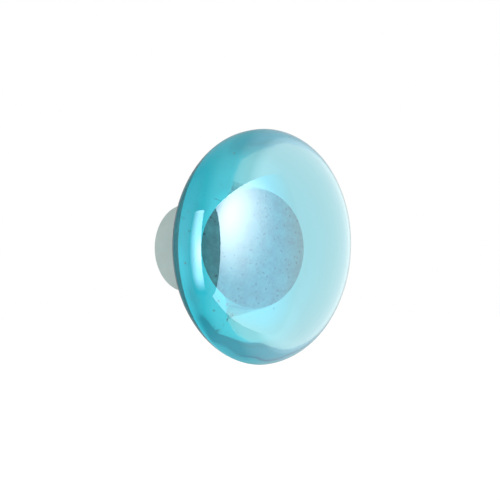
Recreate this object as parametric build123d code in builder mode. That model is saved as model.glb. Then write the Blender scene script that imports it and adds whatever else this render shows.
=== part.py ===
"""Glass mushroom knob for a drawer or cabinet door.

A solid glass head is bonded to a plain cylindrical metal shank, and a brass
insert in the back of the shank takes the fixing screw. Millimetres. The knob's
axis lies along Y: the origin is the centre of the flat mounting face at the
back, the head faces -Y and +Z is up.
"""

import os
from math import cos, pi, sin

from build123d import *

# Glass head
head_diameter = 38.0
dome_height = 8.8
rim_to_back = 5.7
back_round_width = 9.0

# Superellipse powers, along the radius and along the axis: higher powers are squarer
dome_powers = (2.0, 2.2)
back_powers = (1.8, 2.0)
outline_points = 9

# Adhesive between the head and the shank
bond_diameter = 16.2
bond_thickness = 0.2

# Shank, with a low flared seat for the head
shank_diameter = 14.9
shank_length = 12.3
shank_back_radius = 0.4
flange_diameter = 16.4
flange_thickness = 0.8
flare_length = 2.4

# Brass insert, tapped M4 x 0.7 from the back
insert_diameter = 8.0
insert_length = 9.4
insert_recess = 0.2
insert_lead_chamfer = 0.4
thread_core_diameter = 3.3
thread_depth = 8.0
thread_mouth_chamfer = 0.4

# Places along the axis, measured from the mounting face
bond_y = -shank_length
back_y = bond_y - bond_thickness
rim_y = back_y - rim_to_back
flange_back_y = bond_y + flange_thickness
flare_back_y = flange_back_y + flare_length
insert_front_y = -insert_recess - insert_length

head_radius = head_diameter / 2
back_radius = head_radius - back_round_width
shank_radius = shank_diameter / 2
flange_radius = flange_diameter / 2


def round_points(centre, width, height, powers):
    """Points of a quarter superellipse about a centre on the rim's plane, ending at its pole."""
    turns = [pi / 2 * i / outline_points for i in range(outline_points)]
    across = [centre + width * cos(turn) ** (2 / powers[0]) for turn in turns]
    along = [rim_y + height * sin(turn) ** (2 / powers[1]) for turn in turns]
    points = list(zip(across, along))
    return points + [(centre, rim_y + height)]


def circles_at(part, y):
    """The circular edges of a part whose centres lie at one place on the axis."""
    return part.edges().filter_by(GeomType.CIRCLE).filter_by_position(Axis.Y, y, y)


os.makedirs("parts", exist_ok=True)

crown = (0, rim_y - dome_height)
dome = round_points(0, head_radius, -dome_height, dome_powers)
back = round_points(back_radius, back_round_width, rim_to_back, back_powers)

# Solid head: dome and a rounded back with a flat middle
with BuildPart() as glass_head:
    with BuildSketch(Plane.XY):
        with BuildLine():
            Spline(dome, tangents=[(0, -1), (-1, 0)])
            Polyline(crown, (0, back_y), (back_radius, back_y))
            Spline(back, tangents=[(0, 1), (-1, 0)])
        make_face()
    revolve(axis=Axis.Y)

# Film of clear adhesive that fills the joint
with BuildPart() as bond_film:
    with BuildSketch(Plane.XZ.offset(-bond_y)):
        Circle(bond_diameter / 2)
    extrude(amount=bond_thickness)

# Turned shank, flared at the front, with a blind bore for the insert
with BuildPart() as shank:
    with BuildSketch(Plane.XY):
        with BuildLine():
            Polyline(
                (0, bond_y),
                (flange_radius, bond_y),
                (flange_radius, flange_back_y),
                (shank_radius, flare_back_y),
                (shank_radius, 0),
                (0, 0),
                close=True,
            )
        make_face()
    revolve(axis=Axis.Y)
    fillet(circles_at(shank, 0), shank_back_radius)
    with BuildSketch(Plane.XZ):
        Circle(insert_diameter / 2)
    extrude(amount=-insert_front_y, mode=Mode.SUBTRACT)

# Insert, set just below the mounting face, with a blind tapped hole
with BuildPart() as threaded_insert:
    with BuildSketch(Plane.XZ.offset(insert_recess)):
        Circle(insert_diameter / 2)
    extrude(amount=insert_length)
    chamfer(circles_at(threaded_insert, insert_front_y), insert_lead_chamfer)
    with BuildSketch(Plane.XZ.offset(insert_recess)):
        Circle(thread_core_diameter / 2)
    extrude(amount=thread_depth, mode=Mode.SUBTRACT)
    chamfer(circles_at(threaded_insert, -insert_recess).sort_by(SortBy.LENGTH)[0], thread_mouth_chamfer)

glass_head.part.label = "glass_head"
bond_film.part.label = "bond_film"
shank.part.label = "shank"
threaded_insert.part.label = "threaded_insert"

for piece in (glass_head, bond_film, shank, threaded_insert):
    export_step(piece.part, f"parts/{piece.part.label}.step")
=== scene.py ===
"""Looks of a glass mushroom cabinet knob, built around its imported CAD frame.

The knob's axis lies along Y: the mounting face is in the plane y = 0, the glass
head faces -Y and +Z is up. Lengths are in metres, written as millimetres times MM.
"""

import logging
import math
import random
from dataclasses import dataclass, field
from enum import Enum

import bmesh
import bpy
from mathutils import Matrix, Vector, noise


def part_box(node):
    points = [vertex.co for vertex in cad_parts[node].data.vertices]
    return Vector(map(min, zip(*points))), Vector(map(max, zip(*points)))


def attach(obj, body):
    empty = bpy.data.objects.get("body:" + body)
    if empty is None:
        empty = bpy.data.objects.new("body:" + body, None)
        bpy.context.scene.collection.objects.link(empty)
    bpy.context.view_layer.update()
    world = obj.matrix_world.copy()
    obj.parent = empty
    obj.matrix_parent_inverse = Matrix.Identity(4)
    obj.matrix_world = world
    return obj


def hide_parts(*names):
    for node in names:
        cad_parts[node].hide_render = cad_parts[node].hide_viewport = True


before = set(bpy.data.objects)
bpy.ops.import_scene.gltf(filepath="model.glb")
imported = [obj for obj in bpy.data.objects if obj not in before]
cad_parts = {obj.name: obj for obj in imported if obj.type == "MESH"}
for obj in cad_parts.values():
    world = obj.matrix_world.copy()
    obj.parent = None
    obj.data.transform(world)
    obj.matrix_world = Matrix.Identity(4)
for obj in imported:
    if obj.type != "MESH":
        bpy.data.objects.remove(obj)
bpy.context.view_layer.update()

MM = 0.001
FULL_TURN = 2 * math.pi
QUARTER = math.pi / 2
TO_DOOR = (0.0, 1.0, 0.0)
SAME_POINT = 1e-7
log = logging.getLogger("knob")

Outline = list[tuple[float, float]]
Colour = tuple[float, float, float]
Levels = tuple[tuple[float, float], ...]
Stops = list[tuple[float, Colour]]
Socket = bpy.types.NodeSocket


class Slot(Enum):
    """The knob's material slots."""

    GLASS = "aqua_glass"
    BOND = "clear_adhesive"
    METAL = "satin_metal"
    BRASS = "brass"


# ---------------------------------------------------------------- making meshes


def arc(centre: tuple[float, float], half_width: float, half_height: float, start: float, end: float,
        steps: int, powers: tuple[float, float] = (2.0, 2.0)) -> Outline:
    """Points along a stretch of an ellipse or superellipse.

    Args:
        centre: Radius and place along the axis of the ellipse's centre.
        half_width: Half width, along the radius.
        half_height: Half height, along the axis.
        start: First angle, in radians from the outward radius towards +Y.
        end: Last angle.
        steps: Number of stretches between the points.
        powers: Superellipse powers along the radius and along the axis.

    Returns:
        Points as (radius, place along the axis).
    """
    points = []
    for i in range(steps + 1):
        turn = start + (end - start) * i / steps
        across, along = math.cos(turn), math.sin(turn)
        points.append((
            centre[0] + half_width * math.copysign(abs(across) ** (2 / powers[0]), across),
            centre[1] + half_height * math.copysign(abs(along) ** (2 / powers[1]), along),
        ))
    return points


def straight(start: tuple[float, float], end: tuple[float, float], steps: int) -> Outline:
    """Points that split a straight line into equal steps, without its two ends."""
    return [tuple(Vector(start).lerp(Vector(end), i / steps)) for i in range(1, steps)]


def turn_outline(bm: bmesh.types.BMesh, outline: Outline, steps: int) -> None:
    """Turns an open outline about the knob's axis into a closed solid.

    Args:
        bm: Mesh that the solid is added to.
        outline: Points (radius, place along the axis), with both ends on the axis.
        steps: Number of steps in the full turn.
    """
    points = [bmesh.ops.create_vert(bm, co=(max(r, 0.0), y, 0.0))["vert"][0] for r, y in outline]
    lines = [bm.edges.new(pair) for pair in zip(points, points[1:])]
    bmesh.ops.spin(bm, geom=points + lines, cent=(0, 0, 0), axis=TO_DOOR, dvec=(0, 0, 0),
                   angle=FULL_TURN, steps=steps, use_merge=True)
    bmesh.ops.remove_doubles(bm, verts=bm.verts, dist=SAME_POINT)
    bmesh.ops.recalc_face_normals(bm, faces=bm.faces)


def finished(bm: bmesh.types.BMesh, name: str, sharp_over: float = math.radians(40)) -> bpy.types.Object:
    """Makes a mesh into a smooth-shaded object at the origin, and frees the mesh.

    Args:
        bm: Mesh with its place in its points.
        name: Name of the new piece.
        sharp_over: Edges that turn by more than this stay sharp.

    Returns:
        The new object, linked to the scene.
    """
    for edge in bm.edges:
        edge.smooth = len(edge.link_faces) != 2 or edge.calc_face_angle() < sharp_over
    for face in bm.faces:
        face.smooth = True
    mesh = bpy.data.meshes.new(name)
    bm.to_mesh(mesh)
    bm.free()
    piece = bpy.data.objects.new(name, mesh)
    bpy.context.scene.collection.objects.link(piece)
    return piece


def fit(piece: bpy.types.Object, material: bpy.types.Material, slot: Slot, *nodes: str) -> bpy.types.Object:
    """Dresses a piece and puts it on the knob's only body in place of its CAD nodes.

    Args:
        piece: Finished piece.
        material: Its finish.
        slot: The slot that the finish stands for; not used.
        *nodes: CAD nodes that the piece replaces.

    Returns:
        The same piece.
    """
    piece.data.materials.append(material)
    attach(piece, "root")
    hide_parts(*nodes)
    log.info("%s: %d faces, stands for %s", piece.name, len(piece.data.polygons), ", ".join(nodes))
    return piece


# ---------------------------------------------------------------- finishes


def grey(level: float) -> Colour:
    """A colour with the same level in each channel."""
    return (level, level, level)


def fill_ramp(node: bpy.types.ShaderNode, stops: Stops) -> Socket:
    """Gives a new colour ramp its stops.

    Args:
        node: The ramp's node.
        stops: Places and colours along the ramp.

    Returns:
        The ramp's colour socket.
    """
    elements = node.color_ramp.elements
    while len(elements) < len(stops):
        elements.new(0.5)
    for element, (at, colour) in zip(elements, stops):
        element.position = at
        element.color = (*colour, 1)
    return node.outputs["Color"]


class Recipe:
    """A material under construction, with short ways to add the nodes that finishes share."""

    def __init__(self, name: str) -> None:
        """Starts a material with a Principled shader and Object coordinates."""
        self.material = bpy.data.materials.new(name)
        self.material.use_nodes = True
        self.nodes = self.material.node_tree.nodes
        self.links = self.material.node_tree.links
        self.shader = self.nodes["Principled BSDF"]
        self.output = self.nodes["Material Output"]
        self.place = self.nodes.new("ShaderNodeTexCoord").outputs["Object"]

    def set(self, **values: float | tuple) -> None:
        """Sets the shader's own sockets, named with underscores for spaces."""
        for name, value in values.items():
            self.shader.inputs[name.replace("_", " ")].default_value = value

    def noise(self, size: float, detail: float = 3.0, rough: float = 0.5) -> Socket:
        """Adds cloudy noise.

        Args:
            size: Width of a cloud, in metres.
            detail: Octaves of finer noise.
            rough: Strength of the finer noise.

        Returns:
            The noise's value socket.
        """
        texture = self.nodes.new("ShaderNodeTexNoise")
        texture.inputs["Scale"].default_value = 1 / size
        texture.inputs["Detail"].default_value = detail
        texture.inputs["Roughness"].default_value = rough
        self.links.new(self.place, texture.inputs["Vector"])
        return texture.outputs["Fac"]

    def specks(self, spacing: float, width: float, softness: float) -> Socket:
        """Adds scattered round specks.

        Args:
            spacing: Mean distance between specks, in metres.
            width: Speck radius as a share of the spacing.
            softness: Width of a speck's edge, as a share of the spacing.

        Returns:
            A socket that is 1 inside the specks and 0 between them.
        """
        cells = self.nodes.new("ShaderNodeTexVoronoi")
        cells.inputs["Scale"].default_value = 1 / spacing
        self.links.new(self.place, cells.inputs["Vector"])
        return self.ramp(cells.outputs["Distance"], [(width, grey(1)), (width + softness, grey(0))])

    def ramp(self, value: Socket, stops: Stops) -> Socket:
        """Maps a value to colours.

        Args:
            value: Socket to map.
            stops: Places and colours along the ramp.

        Returns:
            The ramp's colour socket.
        """
        node = self.nodes.new("ShaderNodeValToRGB")
        self.links.new(value, node.inputs["Fac"])
        return fill_ramp(node, stops)

    def blend(self, share: Socket, below: Socket, over: Colour) -> Socket:
        """Lays a plain colour over a pattern.

        Args:
            share: How much of the plain colour shows.
            below: The pattern.
            over: The plain colour.

        Returns:
            The mixed colour socket.
        """
        node = self.nodes.new("ShaderNodeMixRGB")
        node.inputs["Color2"].default_value = (*over, 1)
        self.links.new(share, node.inputs["Fac"])
        self.links.new(below, node.inputs["Color1"])
        return node.outputs["Color"]

    def plain(self, colour: Colour) -> Socket:
        """Adds a plain colour."""
        node = self.nodes.new("ShaderNodeRGB")
        node.outputs[0].default_value = (*colour, 1)
        return node.outputs[0]

    def bump(self, height: Socket, depth: float) -> Socket:
        """Adds relief of a given depth, in metres, from a height between 0 and 1."""
        node = self.nodes.new("ShaderNodeBump")
        node.inputs["Strength"].default_value = 1.0
        node.inputs["Distance"].default_value = depth
        self.links.new(height, node.inputs["Height"])
        return node.outputs["Normal"]

    def feed(self, name: str, source: Socket) -> None:
        """Links a socket to one of the shader's inputs."""
        self.links.new(source, self.shader.inputs[name])


@dataclass(frozen=True)
class LustreGlass:
    """Solid aqua glass with a thin metallic lustre on its surface."""

    ior: float = 1.52
    taken_per_metre: Colour = (105.0, 9.5, 3.0)
    film_nanometres: float = 54.0
    film_ior: float = 2.0
    peel_size: float = 2.6 * MM
    peel_depth: float = 0.004 * MM

    def make(self) -> bpy.types.Material:
        """Makes the glass: clear shader, absorption by depth and a fine fire-polished relief."""
        recipe = Recipe("aqua_lustre_glass")
        recipe.set(Base_Color=(1, 1, 1, 1), Roughness=0.0, IOR=self.ior, Transmission_Weight=1.0,
                   Thin_Film_Thickness=self.film_nanometres, Thin_Film_IOR=self.film_ior)
        absorption = recipe.nodes.new("ShaderNodeVolumeAbsorption")
        strongest = max(self.taken_per_metre)
        passed = [1 - taken / strongest for taken in self.taken_per_metre]
        absorption.inputs["Color"].default_value = (*passed, 1)
        absorption.inputs["Density"].default_value = strongest
        recipe.links.new(absorption.outputs[0], recipe.output.inputs["Volume"])
        recipe.feed("Normal", recipe.bump(recipe.noise(self.peel_size), self.peel_depth))
        return recipe.material


@dataclass(frozen=True)
class MottledBond:
    """Cured adhesive on the shank's grey-green end, seen through the glass."""

    pale: Colour = (0.54, 0.60, 0.58)
    dark: Colour = (0.24, 0.31, 0.33)
    speck: Colour = (0.12, 0.16, 0.18)
    cloud_size: float = 1.8 * MM
    cloud_detail: float = 6.0
    cloud_roughness: float = 0.72
    cloud_stops: tuple[float, float] = (0.34, 0.64)
    speck_spacing: float = 0.8 * MM
    speck_width: float = 0.13
    speck_softness: float = 0.12
    roughness: float = 0.5

    def make(self) -> bpy.types.Material:
        """Makes the cloudy film with scattered dark specks."""
        recipe = Recipe("mottled_bond")
        clouds = recipe.ramp(recipe.noise(self.cloud_size, self.cloud_detail, self.cloud_roughness),
                             list(zip(self.cloud_stops, (self.dark, self.pale))))
        specks = recipe.specks(self.speck_spacing, self.speck_width, self.speck_softness)
        recipe.feed("Base Color", recipe.blend(specks, clouds, self.speck))
        recipe.set(Roughness=self.roughness)
        return recipe.material


@dataclass(frozen=True)
class SatinCoat:
    """Matt pale grey-green coat on a turned shank."""

    pale: Colour = (0.42, 0.52, 0.50)
    dark: Colour = (0.34, 0.44, 0.42)
    cloud_size: float = 3.0 * MM
    cloud_stops: tuple[float, float] = (0.3, 0.7)
    grain_size: float = 0.25 * MM
    grain_detail: float = 2.0
    grain_depth: float = 0.01 * MM
    roughness: float = 0.55

    def make(self) -> bpy.types.Material:
        """Makes the coat: faint clouds, fine grain and a low relief."""
        recipe = Recipe("satin_coat")
        grain = recipe.noise(self.grain_size, self.grain_detail)
        clouds = recipe.ramp(recipe.noise(self.cloud_size),
                             list(zip(self.cloud_stops, (self.dark, self.pale))))
        recipe.feed("Base Color", recipe.blend(grain, clouds, self.pale))
        recipe.feed("Normal", recipe.bump(grain, self.grain_depth))
        recipe.set(Roughness=self.roughness)
        return recipe.material


@dataclass(frozen=True)
class TurnedBrass:
    """Machined brass, slightly dulled."""

    bright: Colour = (0.78, 0.60, 0.30)
    dull: Colour = (0.55, 0.41, 0.20)
    bright_roughness: float = 0.24
    dull_roughness: float = 0.42
    tarnish_size: float = 1.8 * MM
    tarnish_detail: float = 4.0
    colour_stops: tuple[float, float] = (0.35, 0.65)
    roughness_stops: tuple[float, float] = (0.3, 0.7)
    grain_size: float = 0.12 * MM
    grain_detail: float = 2.0
    grain_depth: float = 0.004 * MM

    def make(self) -> bpy.types.Material:
        """Makes the brass with cloudy tarnish and a fine machined grain."""
        recipe = Recipe("turned_brass")
        tarnish = recipe.noise(self.tarnish_size, self.tarnish_detail)
        colours = (self.dull, self.bright)
        roughnesses = (grey(self.dull_roughness), grey(self.bright_roughness))
        grain = recipe.noise(self.grain_size, self.grain_detail)
        recipe.feed("Base Color", recipe.ramp(tarnish, list(zip(self.colour_stops, colours))))
        recipe.feed("Roughness", recipe.ramp(tarnish, list(zip(self.roughness_stops, roughnesses))))
        recipe.feed("Normal", recipe.bump(grain, self.grain_depth))
        recipe.set(Metallic=1.0)
        return recipe.material


@dataclass(frozen=True)
class PaleFloor:
    """Matt white floor paint, slightly cloudy."""

    pale: float = 0.96
    dark: float = 0.93
    cloud_size: float = 120 * MM
    cloud_stops: tuple[float, float] = (0.3, 0.7)
    roughness: float = 0.9
    glow: float = 0.12

    def make(self) -> bpy.types.Material:
        """Makes the paint, with a little glow so that it stays as white as the room."""
        recipe = Recipe("pale_floor")
        clouds = recipe.ramp(recipe.noise(self.cloud_size),
                             list(zip(self.cloud_stops, (grey(self.dark), grey(self.pale)))))
        recipe.feed("Base Color", clouds)
        recipe.set(Roughness=self.roughness, Emission_Color=(1, 1, 1, 1), Emission_Strength=self.glow)
        return recipe.material


@dataclass(frozen=True)
class Glow:
    """A panel's light: brightest in front of its lamp and fading towards its soft edges.

    Attributes:
        lamp: Place of the lamp on the panel, in metres from its middle.
        bright: Light in front of the lamp.
        dim: Light beyond the lamp's spread.
        spread: Distance from the lamp at which its light has died away.
        edge: Light at the panel's soft edges.
        fade_x: Places across the panel where the edge's light ends and the lamp's begins.
        fade_y: The same up the panel.
    """

    lamp: tuple[float, float]
    bright: Colour
    dim: Colour
    spread: float
    edge: Colour
    fade_x: tuple[float, float]
    fade_y: tuple[float, float]

    def make(self, name: str) -> bpy.types.Material:
        """Makes the panel's light."""
        recipe = Recipe(name)
        reach = recipe.nodes.new("ShaderNodeVectorMath")
        reach.operation = "DISTANCE"
        reach.inputs[1].default_value = (*self.lamp, 0.0)
        recipe.links.new(recipe.place, reach.inputs[0])
        level = recipe.blend(self.fade(recipe, reach.outputs["Value"], (self.spread, 0)),
                             recipe.plain(self.dim), self.bright)
        split = recipe.nodes.new("ShaderNodeSeparateXYZ")
        recipe.links.new(recipe.place, split.inputs[0])
        for axis, stretch in (("X", self.fade_x), ("Y", self.fade_y)):
            level = recipe.blend(self.fade(recipe, split.outputs[axis], stretch[::-1]), level, self.edge)
        glow = recipe.nodes.new("ShaderNodeEmission")
        recipe.links.new(level, glow.inputs["Color"])
        recipe.links.new(glow.outputs[0], recipe.output.inputs["Surface"])
        return recipe.material

    def fade(self, recipe: Recipe, value: Socket, stretch: tuple[float, float]) -> Socket:
        """Adds a smooth change from 0 at the first value to 1 at the second."""
        node = recipe.nodes.new("ShaderNodeMapRange")
        node.interpolation_type = "SMOOTHSTEP"
        node.inputs["From Min"].default_value, node.inputs["From Max"].default_value = stretch
        recipe.links.new(value, node.inputs["Value"])
        return node.outputs["Result"]


# ---------------------------------------------------------------- the knob's pieces


@dataclass
class GlassHead:
    """The solid pressed head: dome, rounded back and the flat middle that takes the bond.

    The dome's waves fade in over a share of its height, and the back's over a distance
    from the seat and from their outer reach. Seeds and flaws are placed by their distance
    from the axis, as a share of the head's radius, and by their depth under the dome, as
    a share of the glass.
    """

    dome_height: float = 8.8 * MM
    rim_to_back: float = 5.7 * MM
    back_round_width: float = 7.5 * MM
    dome_powers: tuple[float, float] = (2.0, 2.2)
    back_powers: tuple[float, float] = (1.7, 1.8)
    seat_margin: float = 0.3 * MM
    turn_steps: int = 288
    dome_steps: int = 90
    back_steps: int = 60
    flat_steps: int = 24
    crown_lift: float = 1.4 * MM
    wave_size: float = 9.0 * MM
    wave_depth: float = 0.05 * MM
    wave_fade: float = 0.25
    back_wave_size: float = 3.2 * MM
    back_wave_depth: float = 0.04 * MM
    back_wave_reach: float = 15.0 * MM
    back_wave_fade: float = 1.0 * MM
    back_wave_offset: tuple[float, float, float] = (7, 3, 5)
    bubble_draw: int = 12
    seeds: int = 240
    seed_radius: float = 0.055 * MM
    seed_spread: float = 0.45
    seed_reach: float = 0.9
    seed_depths: tuple[float, float] = (0.15, 0.85)
    flaws: int = 7
    flaw_radius: float = 0.13 * MM
    flaw_sizes: tuple[float, float] = (0.5, 1.2)
    flaw_lengths: tuple[float, float] = (1, 2)
    flaw_turns: tuple[float, float] = (math.radians(204), math.radians(232))
    flaw_reaches: tuple[float, float] = (0.80, 0.94)
    flaw_depths: tuple[float, float] = (0.08, 0.2)

    def __post_init__(self) -> None:
        """Takes the head's radius, crown and seat from the frame."""
        low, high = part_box("glass_head")
        self.radius = (high.x - low.x) / 2
        self.crown_y = low.y
        self.seat_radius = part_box("bond_film")[1].x + self.seat_margin
        self.back_y = high.y
        self.rim_y = self.crown_y + self.dome_height

    def outline(self) -> Outline:
        """Outline of half the head, from the crown round the rim to the middle of the back."""
        dome = arc((0, self.rim_y), self.radius, self.dome_height, -QUARTER, 0,
                   self.dome_steps, self.dome_powers)
        back = arc((self.radius - self.back_round_width, self.rim_y), self.back_round_width,
                   self.rim_to_back, 0, QUARTER, self.back_steps, self.back_powers)[1:]
        middle = (0, self.back_y)
        return dome + back + straight(back[-1], middle, self.flat_steps) + [middle]

    def shape(self, place: Vector) -> Vector:
        """Moves one point of the perfect shape to where the hand-worked glass has it."""
        along = (self.rim_y - place.y) / self.dome_height
        moved = place.copy()
        if along > 0:
            moved.z += self.crown_lift * along
            wave = noise.noise(place / self.wave_size)
            moved.y += self.wave_depth * wave * min(along / self.wave_fade, 1)
        else:
            out = math.hypot(place.x, place.z)
            inside = min(out - self.seat_radius, self.back_wave_reach - out) / self.back_wave_fade
            if inside > 0:
                wave = noise.noise(place / self.back_wave_size + Vector(self.back_wave_offset))
                moved.y += self.back_wave_depth * (wave - 1) * min(inside, 1)
        return moved

    def add_bubble(self, bm: bmesh.types.BMesh, turn: float, share: float, depth: float,
                   size: Vector) -> None:
        """Traps one bubble: a closed hollow whose faces look inwards.

        Args:
            bm: The head's mesh.
            turn: Angle about the axis.
            share: Distance from the axis, as a share of the head's radius.
            depth: Place between the dome at 0 and the back at 1.
            size: Half sizes of the bubble.
        """
        rise = self.dome_height * (1 - share ** self.dome_powers[0]) ** (1 / self.dome_powers[1])
        lift = self.crown_lift * rise / self.dome_height * (1 - depth)
        out = share * self.radius
        at = Vector((out * math.cos(turn), self.rim_y - rise, out * math.sin(turn) + lift))
        at.y += (self.back_y - at.y) * depth
        place = Matrix.LocRotScale(at, None, size)
        made = bmesh.ops.create_icosphere(bm, subdivisions=2, radius=1, matrix=place)
        faces = {face for vert in made["verts"] for face in vert.link_faces}
        bmesh.ops.reverse_faces(bm, faces=list(faces))

    def add_seeds(self, bm: bmesh.types.BMesh) -> None:
        """Scatters seeds through the glass, and a patch of larger flaws under the dome's lower left."""
        chance = random.Random(self.bubble_draw)
        for _ in range(self.seeds):
            size = self.seed_radius * chance.lognormvariate(0, self.seed_spread)
            turn = chance.uniform(0, FULL_TURN)
            share = math.sqrt(chance.random()) * self.seed_reach
            self.add_bubble(bm, turn, share, chance.uniform(*self.seed_depths), Vector((size,) * 3))
        for _ in range(self.flaws):
            size = self.flaw_radius * chance.uniform(*self.flaw_sizes)
            turn, share = chance.uniform(*self.flaw_turns), chance.uniform(*self.flaw_reaches)
            depth, length = chance.uniform(*self.flaw_depths), chance.uniform(*self.flaw_lengths)
            self.add_bubble(bm, turn, share, depth, Vector((size, size, size * length)))

    def build(self) -> bpy.types.Object:
        """Turns the outline and works the glass by hand."""
        bm = bmesh.new()
        turn_outline(bm, self.outline(), self.turn_steps)
        for vert in bm.verts:
            vert.co = self.shape(vert.co)
        self.add_seeds(bm)
        return finished(bm, "glass_head_cast")

    def dress(self) -> bpy.types.Object:
        """Builds the head and gives it its glass."""
        return fit(self.build(), LustreGlass().make(), Slot.GLASS, "glass_head")


@dataclass
class BondLayer:
    """The adhesive film. Its front wets the glass, so it lies a hair inside the seat."""

    wetting: float = 0.03 * MM
    turn_steps: int = 128
    edge_steps: int = 10

    def build(self) -> bpy.types.Object:
        """Turns a thin disc with a slightly swollen edge."""
        low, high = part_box("bond_film")
        radius, front, back = (high.x - low.x) / 2, low.y - self.wetting, high.y
        half = (back - front) / 2
        edge = arc((radius - half, front + half), half, half, -QUARTER, QUARTER, self.edge_steps)
        bm = bmesh.new()
        turn_outline(bm, [(0, front)] + edge + [(0, back)], self.turn_steps)
        return finished(bm, "bond_layer")

    def dress(self) -> bpy.types.Object:
        """Builds the film and gives it its finish."""
        return fit(self.build(), MottledBond().make(), Slot.BOND, "bond_film")


@dataclass
class TurnedShank:
    """The shank: flared seat, plain cylinder, eased back edge and the bore that holds the insert."""

    radius: float = 7.45 * MM
    flange_thickness: float = 0.8 * MM
    flare_length: float = 2.4 * MM
    edge_radius: float = 0.15 * MM
    back_radius: float = 0.4 * MM
    turn_steps: int = 192
    edge_steps: int = 6
    back_steps: int = 10

    def build(self) -> bpy.types.Object:
        """Turns the shank's outline, bore included."""
        low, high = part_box("shank")
        insert_low, insert_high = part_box("threaded_insert")
        flange_radius, front, back = (high.x - low.x) / 2, low.y, high.y
        bore, bore_end = (insert_high.x - insert_low.x) / 2, insert_low.y
        flange_back = front + self.flange_thickness
        lip = arc((flange_radius - self.edge_radius, front + self.edge_radius), self.edge_radius,
                  self.edge_radius, -QUARTER, 0, self.edge_steps)
        flare = [(flange_radius, flange_back), (self.radius, flange_back + self.flare_length)]
        easing = arc((self.radius - self.back_radius, back - self.back_radius), self.back_radius,
                     self.back_radius, 0, QUARTER, self.back_steps)
        outline = [(0, front)] + lip + flare + easing + [(bore, back), (bore, bore_end), (0, bore_end)]
        bm = bmesh.new()
        turn_outline(bm, outline, self.turn_steps)
        return finished(bm, "turned_shank")

    def dress(self) -> bpy.types.Object:
        """Builds the shank and gives it its coat."""
        return fit(self.build(), SatinCoat().make(), Slot.METAL, "shank")


@dataclass
class ThreadedInsert:
    """The brass insert: lead chamfer, blind hole and a cut M4 x 0.7 thread.

    The thread's flats at its crest and root are shares of the pitch.
    """

    fit_gap: float = 0.01 * MM
    taper: float = 0.1 * MM
    lead_chamfer: float = 0.4 * MM
    core_radius: float = 1.65 * MM
    thread_radius: float = 2.0 * MM
    pitch: float = 0.7 * MM
    crest_flat: float = 1 / 4
    root_flat: float = 1 / 8
    hole_depth: float = 8.0 * MM
    mouth_chamfer: float = 0.4 * MM
    run_out: float = 1.0 * MM
    rows_per_pitch: int = 20
    turn_steps: int = 96
    wall_tolerance: float = 0.001 * MM

    def __post_init__(self) -> None:
        """Takes the insert's size and place from the frame."""
        low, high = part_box("threaded_insert")
        self.radius = (high.x - low.x) / 2 - self.fit_gap
        self.front, self.back = low.y, high.y
        self.mouth, self.floor = self.back - self.mouth_chamfer, self.back - self.hole_depth

    def outline(self) -> Outline:
        """Outline of half the insert, with the hole's wall divided finely enough for the thread."""
        rows = round((self.mouth - self.floor) / self.pitch * self.rows_per_pitch)
        wall = straight((self.core_radius, self.mouth), (self.core_radius, self.floor), rows)
        return ([(0, self.front), (self.radius - self.lead_chamfer, self.front),
                 (self.radius, self.front + self.lead_chamfer), (self.radius - self.taper, self.back),
                 (self.core_radius + self.mouth_chamfer, self.back), (self.core_radius, self.mouth)]
                + wall + [(self.core_radius, self.floor), (0, self.floor)])

    def cut(self, place: Vector) -> float:
        """Depth of the thread at a point of the hole's wall, right-handed about +Y."""
        phase = (place.y / self.pitch - math.atan2(place.x, place.z) / FULL_TURN) % 1
        from_crest = 0.5 - abs(phase - 0.5)
        flank = (1 - self.crest_flat - self.root_flat) / 2
        groove = min(max((from_crest - self.crest_flat / 2) / flank, 0), 1)
        full_depth = self.thread_radius - self.core_radius
        return full_depth * groove * min((place.y - self.floor) / self.run_out, 1)

    def build(self) -> bpy.types.Object:
        """Turns the outline and cuts the thread into the hole's wall."""
        bm = bmesh.new()
        turn_outline(bm, self.outline(), self.turn_steps)
        for vert in bm.verts:
            out = math.hypot(vert.co.x, vert.co.z)
            if abs(out - self.core_radius) < self.wall_tolerance:
                stretch = 1 + self.cut(vert.co) / out
                vert.co.x, vert.co.z = vert.co.x * stretch, vert.co.z * stretch
        return finished(bm, "threaded_brass_insert")

    def dress(self) -> bpy.types.Object:
        """Builds the insert and gives it its brass."""
        return fit(self.build(), TurnedBrass().make(), Slot.BRASS, "threaded_insert")


# ---------------------------------------------------------------- studio


def towards(azimuth: float, elevation: float) -> Vector:
    """Unit vector from the knob.

    Args:
        azimuth: Degrees from straight in front of the head, towards -X.
        elevation: Degrees above level.

    Returns:
        The direction.
    """
    turn, rise = math.radians(azimuth), math.radians(elevation)
    return Vector((-math.sin(turn) * math.cos(rise), -math.cos(turn) * math.cos(rise), math.sin(rise)))


@dataclass
class SoftBox:
    """One glowing panel, facing the head; only reflections show it.

    Its edge on the camera's side bows inwards by the bow at mid height.
    """

    name: str
    azimuth: float
    elevation: float
    width: float
    height: float
    glow: Glow
    bow: float = 0.0
    distance: float = 400 * MM
    edge_steps: int = 24

    def build(self, target: Vector) -> None:
        """Hangs the panel in the studio."""
        bm = bmesh.new()
        bmesh.ops.create_grid(bm, x_segments=1, y_segments=self.edge_steps, size=0.5)
        for vert in bm.verts:
            if vert.co.x > 0:
                vert.co.x += self.bow / self.width * (4 * vert.co.y ** 2 - 0.5)
        bmesh.ops.scale(bm, vec=(self.width, self.height, 1), verts=bm.verts)
        panel = finished(bm, self.name)
        away = towards(self.azimuth, self.elevation)
        panel.location = target + away * self.distance
        panel.rotation_euler = (-away).to_track_quat("Z", "Y").to_euler()
        panel.data.materials.append(self.glow.make(self.name))
        panel.visible_camera = False
        panel.visible_transmission = False
        panel.visible_diffuse = False
        panel.visible_shadow = False


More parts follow.
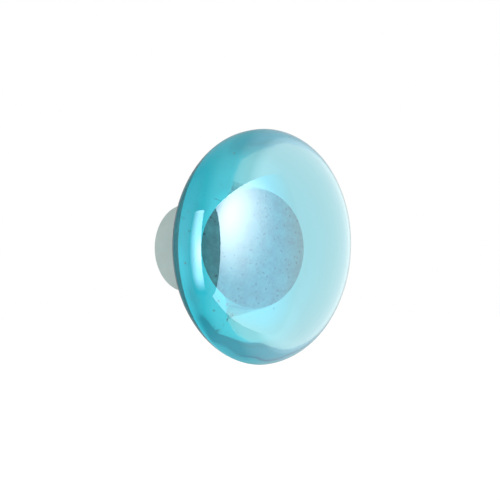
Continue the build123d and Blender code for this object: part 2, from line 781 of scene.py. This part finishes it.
@dataclass
class Surround:
    """The white room, as bright as each kind of ray needs it.

    The mirrored and see-through levels change with the angle from one direction of the
    room: a stop at 1 is met in that direction, and a stop at 0 opposite it.
    """

    plain: float = 1.0
    lit: float = 1.0
    mirrored_from: tuple[float, float] = (-60.0, 0.0)
    mirrored: Levels = ((0.0, 0.45), (0.1, 0.28), (0.27, 0.14), (0.45, 0.35), (0.62, 0.42), (0.72, 0.8),
                        (0.79, 0.95), (0.83, 1.5), (0.86, 1.8), (1.0, 1.7))
    seen_through_from: tuple[float, float] = (-60.0, 20.0)
    seen_through: Levels = ((0.65, 0.54), (0.725, 0.63), (0.87, 0.78), (0.90, 0.85), (0.915, 1.0))

    def build(self) -> None:
        """Makes the world."""
        world = bpy.data.worlds.new("studio")
        bpy.context.scene.world = world
        world.use_nodes = True
        nodes, links = world.node_tree.nodes, world.node_tree.links
        rays = nodes.new("ShaderNodeLightPath")
        level = self.plain_level(world, self.lit)
        mirrored = self.levels(world, self.mirrored_from, self.mirrored)
        seen_through = self.levels(world, self.seen_through_from, self.seen_through)
        plain = self.plain_level(world, self.plain)
        for kind, chosen in (("Is Glossy Ray", mirrored), ("Is Transmission Ray", seen_through),
                             ("Is Camera Ray", plain)):
            choice = nodes.new("ShaderNodeMixRGB")
            links.new(rays.outputs[kind], choice.inputs["Fac"])
            links.new(level, choice.inputs["Color1"])
            links.new(chosen, choice.inputs["Color2"])
            level = choice.outputs["Color"]
        links.new(level, nodes["Background"].inputs["Color"])
        bpy.context.scene.view_settings.view_transform = "Standard"

    def plain_level(self, world: bpy.types.World, level: float) -> Socket:
        """Adds a level that is the same all round."""
        node = world.node_tree.nodes.new("ShaderNodeRGB")
        node.outputs[0].default_value = (*grey(level), 1)
        return node.outputs[0]

    def levels(self, world: bpy.types.World, counted_from: tuple[float, float], stops: Levels) -> Socket:
        """Adds levels that change round the room.

        Args:
            world: The world they belong to.
            counted_from: Azimuth and elevation the stops are counted from.
            stops: Places from 0 to 1 and the light met there.

        Returns:
            The light's socket.
        """
        nodes, links = world.node_tree.nodes, world.node_tree.links
        side = nodes.new("ShaderNodeVectorMath")
        side.operation = "DOT_PRODUCT"
        side.inputs[1].default_value = towards(*counted_from)
        links.new(nodes.new("ShaderNodeTexCoord").outputs["Generated"], side.inputs[0])
        reach = nodes.new("ShaderNodeMapRange")
        reach.inputs["From Min"].default_value = -1.0
        links.new(side.outputs["Value"], reach.inputs["Value"])
        node = nodes.new("ShaderNodeValToRGB")
        links.new(reach.outputs["Result"], node.inputs["Fac"])
        return fill_ramp(node, [(at, grey(level)) for at, level in stops])


@dataclass
class Studio:
    """Camera, pale floor, white surround and soft lights."""

    azimuth: float = 46.0
    elevation: float = 0.35
    roll: float = -0.95
    distance: float = 237.5 * MM
    lens: float = 104.2
    aim: Vector = field(default_factory=lambda: Vector((0, -13.5 * MM, 0)))
    shift: tuple[float, float] = (0.0142, -0.005)
    floor_z: float = -70 * MM
    floor_half_width: float = 0.9
    head_middle: Vector = field(default_factory=lambda: Vector((0, -20 * MM, 0)))

    def place_camera(self) -> None:
        """Makes the camera and gives it to the scene."""
        back = towards(self.azimuth, self.elevation)
        data = bpy.data.cameras.new("camera")
        camera = bpy.data.objects.new("camera", data)
        bpy.context.scene.collection.objects.link(camera)
        camera.location = self.aim + back * self.distance
        level = (-back).to_track_quat("-Z", "Y").to_matrix()
        camera.rotation_euler = (level @ Matrix.Rotation(math.radians(self.roll), 3, "Z")).to_euler()
        data.lens = self.lens
        data.shift_x, data.shift_y = self.shift
        bpy.context.scene.camera = camera

    def hang_lights(self) -> None:
        """Hangs the panels that the glass mirrors."""
        front = Glow(lamp=(0.13, 0.20), bright=(6.0, 6.0, 6.0), dim=(1.5, 2.1, 2.5), spread=0.34,
                     edge=(1.6, 1.6, 1.6), fade_x=(-0.32, -0.12), fade_y=(-0.36, -0.16))
        side = Glow(lamp=(-0.12, 0.0), bright=(4.4, 4.6, 4.8), dim=(2.2, 2.7, 3.1), spread=0.14,
                    edge=(0.1, 0.12, 0.15), fade_x=(0.15, -0.06), fade_y=(-0.26, -0.12))
        for box in (SoftBox("front_softbox", -9, -9.5, 0.60, 0.70, front, bow=0.16),
                    SoftBox("side_softbox", 74, -6, 0.27, 0.56, side)):
            box.build(self.head_middle)

    def lay_floor(self) -> None:
        """Lays the plain pale floor, well below the knob."""
        bm = bmesh.new()
        bmesh.ops.create_grid(bm, x_segments=1, y_segments=1, size=self.floor_half_width)
        floor = finished(bm, "floor")
        floor.location.z = self.floor_z
        floor.data.materials.append(PaleFloor().make())
        floor.visible_glossy = False
        floor.visible_transmission = False

    def build(self) -> None:
        """Sets up the whole studio."""
        self.place_camera()
        self.lay_floor()
        Surround().build()
        self.hang_lights()


def main() -> None:
    """Builds the studio and the knob, and reports each piece."""
    logging.basicConfig(level=logging.INFO, format="%(name)s: %(message)s")
    Studio().build()
    for part in (GlassHead(), BondLayer(), TurnedShank(), ThreadedInsert()):
        part.dress()


if __name__ == "__main__":
    main()
